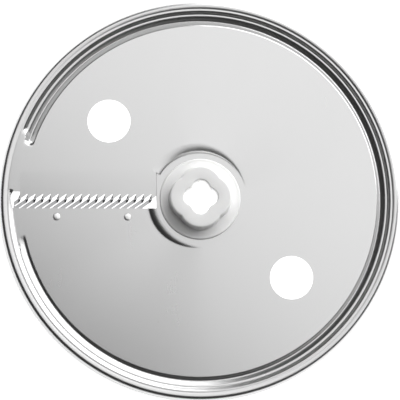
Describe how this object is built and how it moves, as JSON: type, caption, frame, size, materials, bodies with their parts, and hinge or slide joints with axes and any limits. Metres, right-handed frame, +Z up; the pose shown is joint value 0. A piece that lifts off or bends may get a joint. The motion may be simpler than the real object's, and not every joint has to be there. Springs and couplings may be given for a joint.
{
  "type": "food processor julienne disc",
  "caption": "Round stamped-steel julienne disc with a terraced rim, a ramped slot over a riveted comb of upright knives, finger holes and a raised plastic drive hub.",
  "frame": {"origin": "on the hub's axis, on the plane that the rim's foot stands on", "axes": "+Z up out of the cutting side, -X along the slot, +Y towards the raised side of the slot"},
  "size_m": [0.14, 0.14, 0.0144],
  "materials": {
    "disc_plate": "satin polished stainless steel",
    "julienne_comb": "stamped stainless steel",
    "comb_rivets": "polished stainless steel",
    "hub": "white moulded plastic",
    "hub_collar": "white moulded plastic"
  },
  "bodies": {
    "root": {"disc_plate": "disc_plate", "julienne_comb": "julienne_comb", "comb_rivets": "comb_rivets", "hub": "hub", "hub_collar": "hub_collar"}
  },
  "joints": []
}
